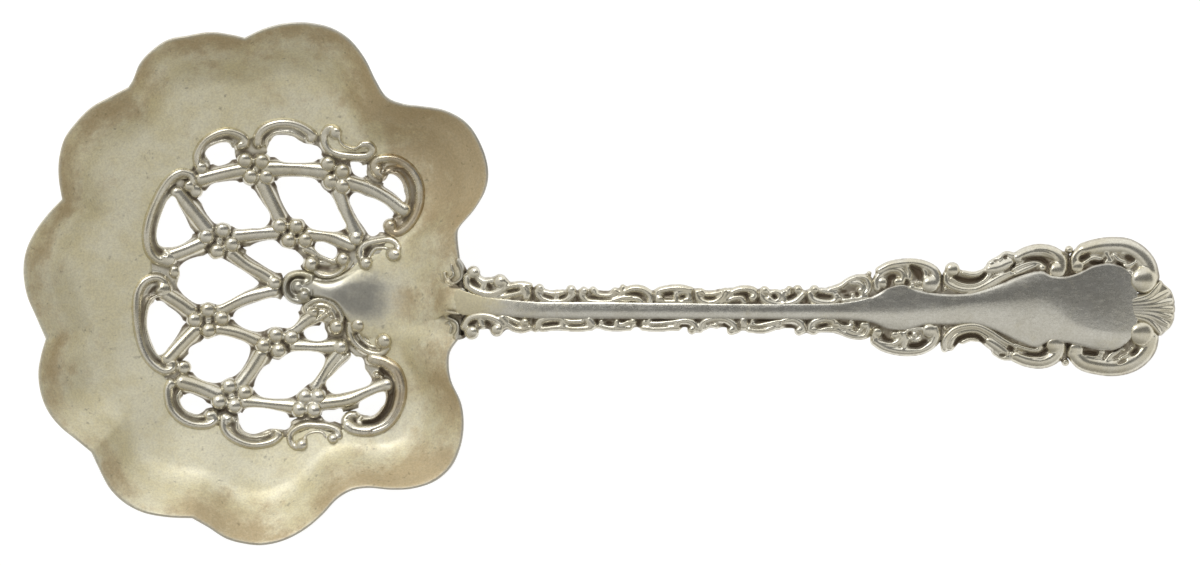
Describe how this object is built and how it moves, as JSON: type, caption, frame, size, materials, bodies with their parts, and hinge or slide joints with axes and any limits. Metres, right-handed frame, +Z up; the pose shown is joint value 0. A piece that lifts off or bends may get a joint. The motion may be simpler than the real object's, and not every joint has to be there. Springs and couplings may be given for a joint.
{
  "type": "bonbon spoon",
  "caption": "Silver bonbon spoon with a wide lobed bowl, a pierced trellis floor ringed by scrolls, and a scroll-edged handle ending in a fluted shell",
  "frame": {"origin": "on the table, under the middle of the spoon's box", "axes": "+X along the handle towards its tip, +Y across the spoon, +Z up, out of the open bowl"},
  "size_m": [0.124, 0.0562, 0.0131],
  "materials": {
    "gilt_bowl": "worn silver with the remains of a thin gilt wash, fine scratches, soft polish",
    "plain_silver": "plain polished sterling silver, softened by wear and fine scratches",
    "carved_silver": "chased sterling silver, bright on the raised parts and brown with tarnish in the creases"
  },
  "bodies": {
    "root": {"bead_cluster_01": "carved_silver", "bead_cluster_02": "carved_silver", "bead_cluster_03": "carved_silver", "bead_cluster_04": "carved_silver", "bead_cluster_05": "carved_silver", "bead_cluster_06": "carved_silver", "bead_cluster_07": "carved_silver", "bead_cluster_08": "carved_silver", "ring_scroll_01": "carved_silver", "ring_scroll_02": "carved_silver", "ring_scroll_03": "carved_silver", "ring_scroll_04": "carved_silver", "ring_scroll_05": "carved_silver", "ring_scroll_06": "carved_silver", "ring_scroll_07": "carved_silver", "ring_scroll_08": "carved_silver", "ring_scroll_09": "carved_silver", "ring_scroll_10": "carved_silver", "ring_scroll_11": "carved_silver", "ring_scroll_12": "carved_silver", "ring_scroll_13": "carved_silver", "ring_scroll_14": "carved_silver", "drop_tongue": "gilt_bowl", "trellis_bar_01": "carved_silver", "trellis_bar_02": "carved_silver", "trellis_bar_03": "carved_silver", "trellis_bar_04": "carved_silver", "trellis_bar_05": "carved_silver", "trellis_bar_06": "carved_silver", "trellis_bar_07": "carved_silver", "trellis_bar_08": "carved_silver", "trellis_bar_09": "carved_silver", "trellis_bar_10": "carved_silver", "trellis_bar_11": "carved_silver", "trellis_bar_12": "carved_silver", "trellis_bar_13": "carved_silver", "trellis_bar_14": "carved_silver", "trellis_bar_15": "carved_silver", "trellis_bar_16": "carved_silver", "trellis_bar_17": "carved_silver", "trellis_bar_18": "carved_silver", "trellis_bar_19": "carved_silver", "trellis_bar_20": "carved_silver", "trellis_bar_21": "carved_silver", "trellis_bar_22": "carved_silver", "bowl": "gilt_bowl", "shoulder_scroll_upper": "carved_silver", "shoulder_scroll_lower": "carved_silver", "neck_scroll_upper": "carved_silver", "neck_scroll_lower": "carved_silver", "crest_scroll_upper": "carved_silver", "crest_scroll_lower": "carved_silver", "end_scroll_upper": "carved_silver", "end_scroll_lower": "carved_silver", "handle_stem": "plain_silver", "stem_border_upper": "carved_silver", "stem_border_lower": "carved_silver", "shell_tip": "carved_silver"}
  },
  "joints": []
}
